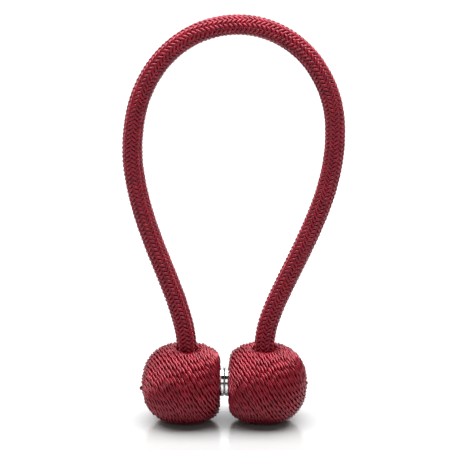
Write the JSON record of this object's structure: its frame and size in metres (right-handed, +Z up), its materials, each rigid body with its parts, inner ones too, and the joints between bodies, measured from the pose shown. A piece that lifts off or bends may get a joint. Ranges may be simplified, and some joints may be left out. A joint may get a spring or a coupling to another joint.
{
  "type": "magnetic curtain tieback",
  "caption": "Curtain tieback of braided rope whose ends sit in cord-wound balls that close on each other with disc magnets.",
  "frame": {"origin": "on the floor, midway between the balls, under the plane where the magnets meet", "axes": "+X along the magnets' axis from the left ball to the right one, +Z up along the standing rope loop, +Y away from the front"},
  "size_m": [0.0936, 0.035, 0.1809],
  "materials": {
    "braid": "burgundy tubular braid, herringbone, soft matt sheen",
    "winding": "burgundy two-ply twisted cord, silky",
    "nickel": "polished nickel plating"
  },
  "bodies": {
    "root": {"rope": "braid", "ball_left": "winding", "ball_right": "winding", "magnet_left": "nickel", "magnet_right": "nickel"}
  },
  "joints": []
}
